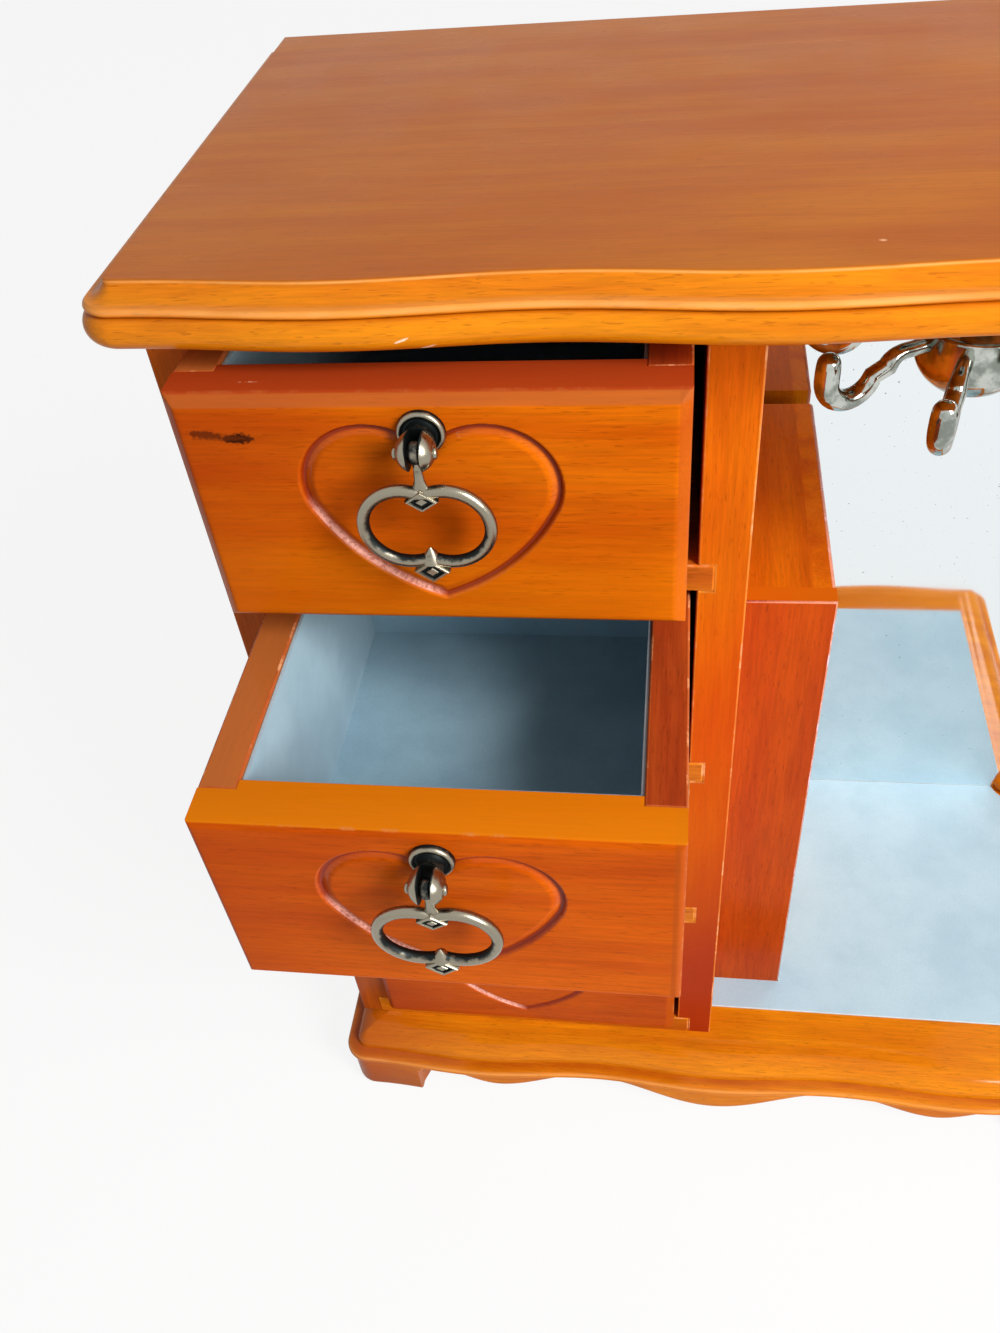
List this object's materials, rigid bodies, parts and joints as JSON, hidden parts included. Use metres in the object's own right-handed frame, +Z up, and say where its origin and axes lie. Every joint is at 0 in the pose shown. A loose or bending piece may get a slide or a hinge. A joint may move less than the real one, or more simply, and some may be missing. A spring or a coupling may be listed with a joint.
{
  "type": "vanity jewellery box",
  "caption": "Wooden vanity and jewellery box: a stack of lined drawers with drop-ring pulls beside an open lined bay with a mirror back and a turning hook carousel.",
  "frame": {"origin": "middle of the bounding box at the table, under the feet, with the drawers pulled out as in the picture", "axes": "+Z up, +X to the right as seen from the front, -Y towards the front where the drawers open"},
  "size_m": [0.28, 0.2229, 0.339],
  "materials": {
    "wood": "orange-brown stained wood under glossy lacquer, worn at the edges",
    "lining": "pale blue short-pile lining fabric",
    "pewter": "antique silver plate with dark patina in the recesses",
    "chrome": "bright chrome plate",
    "mirror": "silvered glass"
  },
  "bodies": {
    "case": {"top_slab": "wood", "base_board": "wood", "base_apron_front": "wood", "base_apron_left": "wood", "base_apron_right": "wood", "base_apron_back": "wood", "left_panel": "wood", "partition": "wood", "divider_1": "wood", "divider_2": "wood", "divider_3": "wood", "bottom_board": "wood", "case_back": "wood", "mirror_glass": "mirror", "mirror_backing": "wood", "corner_post": "wood", "box_front": "wood", "box_side": "wood", "box_top": "wood", "bay_lining": "lining", "carousel_plate": "chrome"},
    "carousel": {"carousel_spindle": "chrome", "carousel_hub": "chrome", "carousel_hooks": "chrome"},
    "drawer_1": {"drawer_1_front": "wood", "drawer_1_left": "wood", "drawer_1_right": "wood", "drawer_1_back": "wood", "drawer_1_bottom": "wood", "drawer_1_lining": "lining", "drawer_1_pull_post": "pewter", "drawer_1_pull_pin": "pewter"},
    "ring_1": {"drawer_1_pull_ring": "pewter"},
    "drawer_2": {"drawer_2_front": "wood", "drawer_2_left": "wood", "drawer_2_right": "wood", "drawer_2_back": "wood", "drawer_2_bottom": "wood", "drawer_2_lining": "lining", "drawer_2_pull_post": "pewter", "drawer_2_pull_pin": "pewter"},
    "ring_2": {"drawer_2_pull_ring": "pewter"},
    "drawer_3": {"drawer_3_front": "wood", "drawer_3_left": "wood", "drawer_3_right": "wood", "drawer_3_back": "wood", "drawer_3_bottom": "wood", "drawer_3_lining": "lining", "drawer_3_pull_post": "pewter", "drawer_3_pull_pin": "pewter"},
    "ring_3": {"drawer_3_pull_ring": "pewter"},
    "drawer_4": {"drawer_4_front": "wood", "drawer_4_left": "wood", "drawer_4_right": "wood", "drawer_4_back": "wood", "drawer_4_bottom": "wood", "drawer_4_lining": "lining", "drawer_4_pull_post": "pewter", "drawer_4_pull_pin": "pewter"}
  },
  "joints": [
    {"name": "drawer_1_slide", "type": "slide", "parent": "case", "child": "drawer_1", "axis": [0, -1, 0], "range_m": [-0.023, 0.067]},
    {"name": "ring_1_swing", "type": "hinge", "parent": "drawer_1", "child": "ring_1", "pos_m": [-0.0693, -0.0569, 0.3124], "axis": [-1, 0, 0], "range_deg": [-9, 95]},
    {"name": "drawer_2_slide", "type": "slide", "parent": "case", "child": "drawer_2", "axis": [0, -1, 0], "range_m": [-0.074, 0.016]},
    {"name": "ring_2_swing", "type": "hinge", "parent": "drawer_2", "child": "ring_2", "pos_m": [-0.068, -0.1079, 0.2404], "axis": [-1, 0, 0], "range_deg": [-9, 95]},
    {"name": "drawer_3_slide", "type": "slide", "parent": "case", "child": "drawer_3", "axis": [0, -1, 0], "range_m": [0, 0.09]},
    {"name": "ring_3_swing", "type": "hinge", "parent": "drawer_3", "child": "ring_3", "pos_m": [-0.068, -0.0339, 0.1684], "axis": [-1, 0, 0], "range_deg": [-9, 95]},
    {"name": "drawer_4_slide", "type": "slide", "parent": "case", "child": "drawer_4", "axis": [0, -1, 0], "range_m": [-0.006, 0.084]},
    {"name": "carousel_spin", "type": "hinge", "parent": "case", "child": "carousel", "pos_m": [0.054, 0.0336, 0.28], "axis": [0, 0, 1], "continuous": true}
  ]
}
